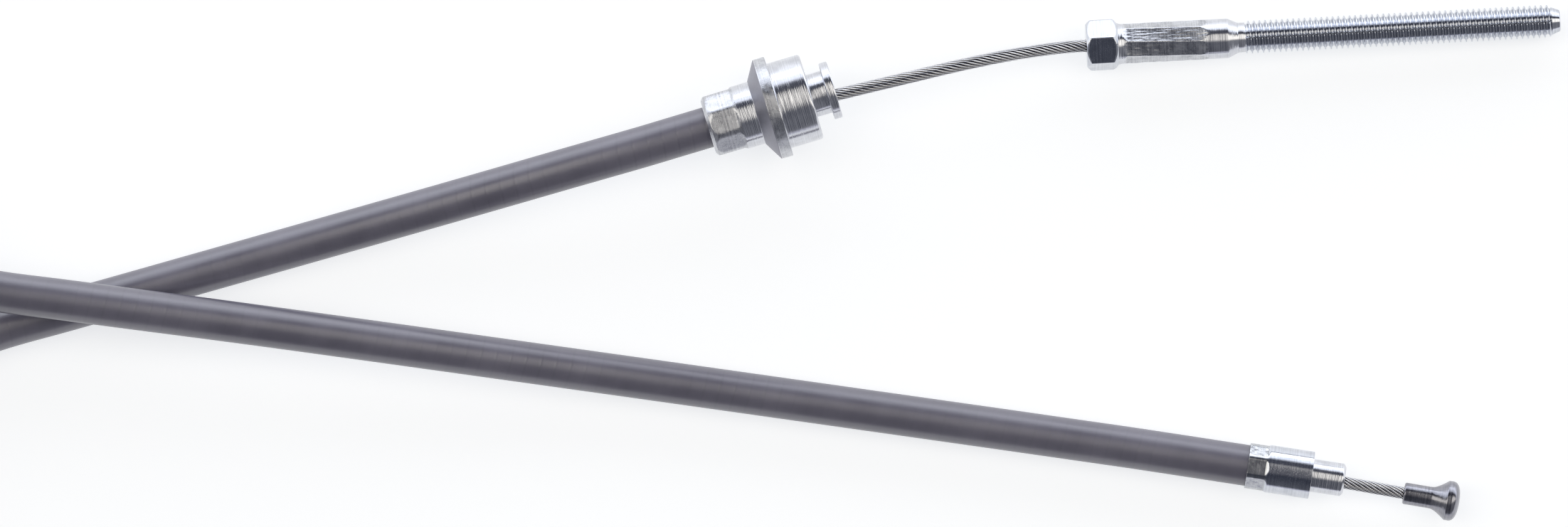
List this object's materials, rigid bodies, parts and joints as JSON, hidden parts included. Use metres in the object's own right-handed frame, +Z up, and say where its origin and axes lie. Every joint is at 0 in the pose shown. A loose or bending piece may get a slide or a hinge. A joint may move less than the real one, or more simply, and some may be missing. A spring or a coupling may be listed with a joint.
{
  "type": "front brake cable",
  "caption": "Bowden brake cable: steel wire rope sliding in a grey casing, with crimped ferrules, a threaded stud end and a trumpet nipple.",
  "frame": {"origin": "on the surface that the cable lies on, under the middle of the bounding box of its metal fittings", "axes": "+Z up from the surface, +X along the cable's free ends, away from the coiled length"},
  "size_m": [0.3849, 0.1033, 0.0182],
  "materials": {
    "zinc_plate": "bright zinc plate, lightly turned and crimped",
    "nipple_alloy": "cast zinc alloy with a dull nickel plate",
    "wire_rope": "bright drawn steel strands",
    "spring_steel": "close-wound flat steel wire",
    "liner": "smooth low-friction plastic",
    "sheath": "grey extruded plastic, satin, with faint rings from the spiral beneath",
    "tie": "moulded nylon"
  },
  "bodies": {
    "casing": {"flanged_ferrule": "zinc_plate", "end_ferrule": "zinc_plate", "wire_stud_run": "wire_rope", "wire_nipple_run": "wire_rope", "liner_stud_run": "liner", "liner_nipple_run": "liner", "conduit_stud_run": "spring_steel", "conduit_nipple_run": "spring_steel", "sheath_stud_run": "sheath", "sheath_nipple_run": "sheath", "casing_coil": "sheath", "coil_tie": "tie"},
    "stud_end": {"threaded_stud": "zinc_plate", "wire_stud_end": "wire_rope"},
    "nipple_end": {"nipple": "nipple_alloy", "wire_nipple_end": "wire_rope"}
  },
  "joints": [
    {"name": "stud_slide", "type": "slide", "parent": "casing", "child": "stud_end", "axis": [0.9724, 0.2334, 0], "range_m": [-0.015, 0.01]},
    {"name": "nipple_slide", "type": "slide", "parent": "casing", "child": "nipple_end", "axis": [0.9848, -0.1736, 0], "range_m": [-0.01, 0.015]}
  ],
  "couplings": [
    {"joint": "nipple_slide", "follows": "stud_slide", "ratio": -1}
  ]
}
